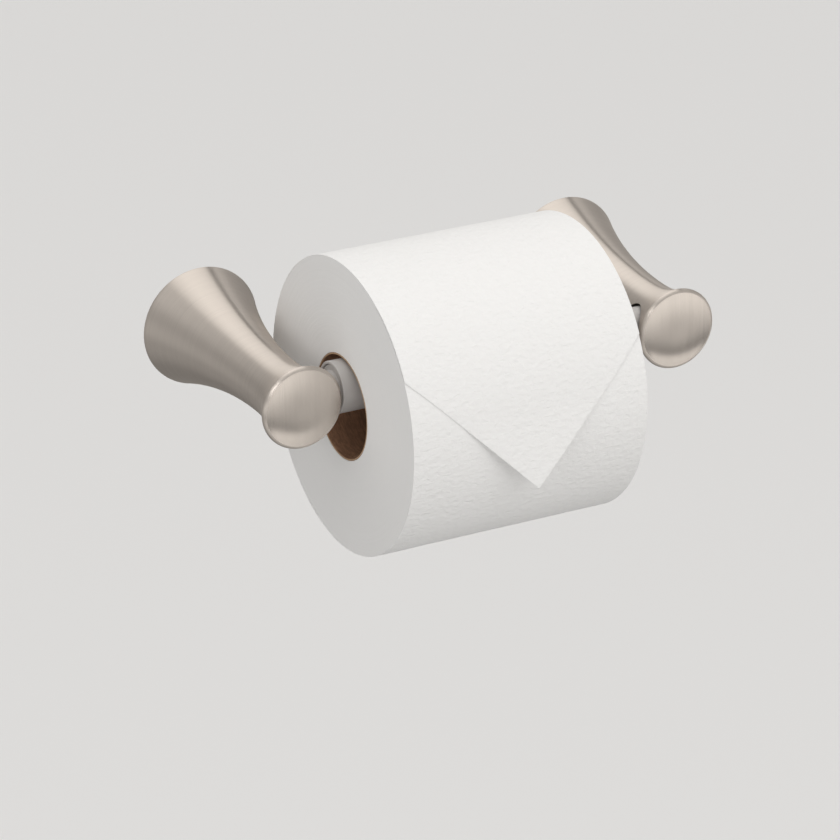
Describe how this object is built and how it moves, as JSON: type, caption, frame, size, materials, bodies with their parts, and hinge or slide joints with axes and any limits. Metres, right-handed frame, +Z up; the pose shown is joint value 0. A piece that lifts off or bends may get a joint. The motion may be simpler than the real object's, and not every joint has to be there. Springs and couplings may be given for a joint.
{
  "type": "toilet paper holder",
  "caption": "Wall-mounted two-post toilet paper holder in satin nickel, with a spring-loaded roller and a full paper roll whose end is folded to a point.",
  "frame": {"origin": "on the wall's face, midway between the two posts, level with their axes", "axes": "+X along the roller to the right as seen from the room, +Y into the wall, +Z up"},
  "size_m": [0.2152, 0.1635, 0.1179],
  "materials": {
    "satin_nickel": "satin, fine brushing round the post",
    "zinc_bracket": "plain zinc",
    "screw_steel": "zinc-plated steel",
    "wall_plug_plastic": "moulded",
    "roller_plastic": "satin, silver-grey",
    "spring_steel": "drawn wire",
    "cardboard": "raw, spiral-wound",
    "tissue_paper": "embossed, soft"
  },
  "bodies": {
    "wall_mount": {"left_post": "satin_nickel", "right_post": "satin_nickel", "left_wall_bracket": "zinc_bracket", "right_wall_bracket": "zinc_bracket", "left_set_screw": "screw_steel", "right_set_screw": "screw_steel", "left_upper_mounting_screw": "screw_steel", "left_lower_mounting_screw": "screw_steel", "right_upper_mounting_screw": "screw_steel", "right_lower_mounting_screw": "screw_steel", "left_upper_wall_plug": "wall_plug_plastic", "left_lower_wall_plug": "wall_plug_plastic", "right_upper_wall_plug": "wall_plug_plastic", "right_lower_wall_plug": "wall_plug_plastic"},
    "roller_outer": {"roller_outer_tube": "roller_plastic", "roller_right_plug": "roller_plastic", "roller_spring": "spring_steel"},
    "roller_inner": {"roller_inner_tube": "roller_plastic", "roller_left_plug": "roller_plastic"},
    "paper_roll": {"paper_core": "cardboard", "paper_winding": "tissue_paper", "paper_tail": "tissue_paper"}
  },
  "joints": [
    {"name": "roller_spin", "type": "hinge", "parent": "wall_mount", "child": "roller_outer", "pos_m": [0, -0.0784, 0], "axis": [1, 0, 0], "continuous": true},
    {"name": "roller_compress", "type": "slide", "parent": "roller_outer", "child": "roller_inner", "axis": [1, 0, 0], "range_m": [0, 0.01], "stiffness_N_per_m": 250, "springref_m": -0.006, "deforming": ["roller_spring"]},
    {"name": "paper_spin", "type": "hinge", "parent": "wall_mount", "child": "paper_roll", "pos_m": [-0.0095, -0.0784, -0.0089], "axis": [1, 0, 0], "continuous": true}
  ]
}
